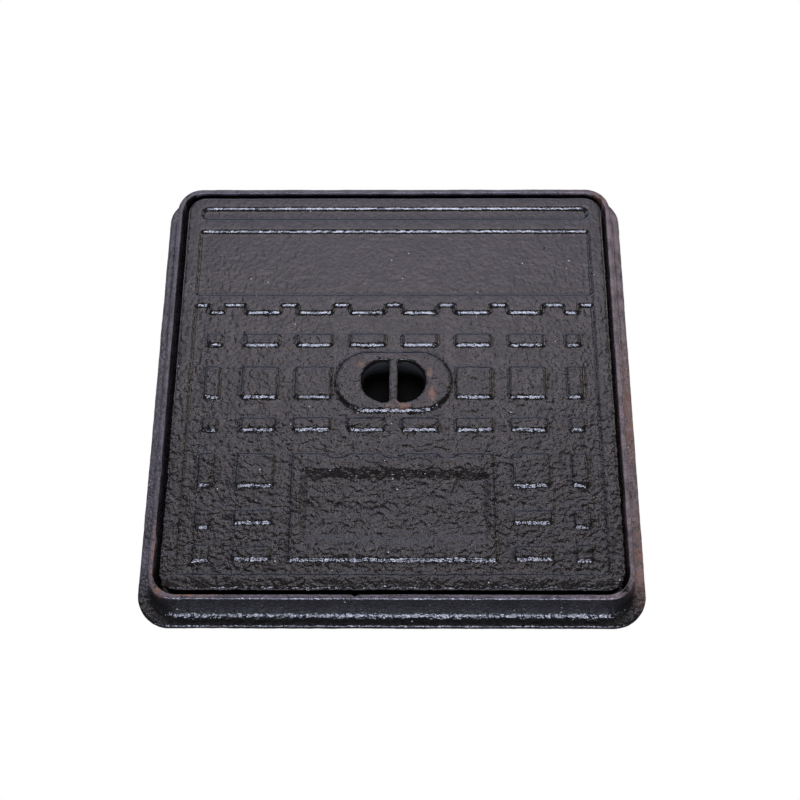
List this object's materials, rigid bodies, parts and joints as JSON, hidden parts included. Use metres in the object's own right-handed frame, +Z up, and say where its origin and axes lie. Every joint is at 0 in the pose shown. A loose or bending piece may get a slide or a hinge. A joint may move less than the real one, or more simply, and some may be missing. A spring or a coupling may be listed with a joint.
{
  "type": "manhole cover",
  "caption": "Square cast-iron access cover lying loose in a flanged frame, with a raised pad pattern, bare panels, a barred key pocket and a ribbed underside.",
  "frame": {"origin": "middle of the frame's base, on the surface that it is bedded on", "axes": "+Z up out of the road, +Y towards the side of the cover with the long bare panel, +X to the right when that panel is at the top"},
  "size_m": [0.3332, 0.3332, 0.031],
  "materials": {
    "frame_casting": "black bitumen dip over sand-cast iron, semi-gloss, rust at worn edges",
    "cover_casting": "black bitumen dip over sand-cast iron, semi-gloss, grainy"
  },
  "bodies": {
    "frame": {"frame": "frame_casting"},
    "cover": {"cover": "cover_casting"}
  },
  "joints": [
    {"name": "cover_lift", "type": "slide", "parent": "frame", "child": "cover", "axis": [0, 0, 1], "range_m": [0, 0.12]}
  ]
}
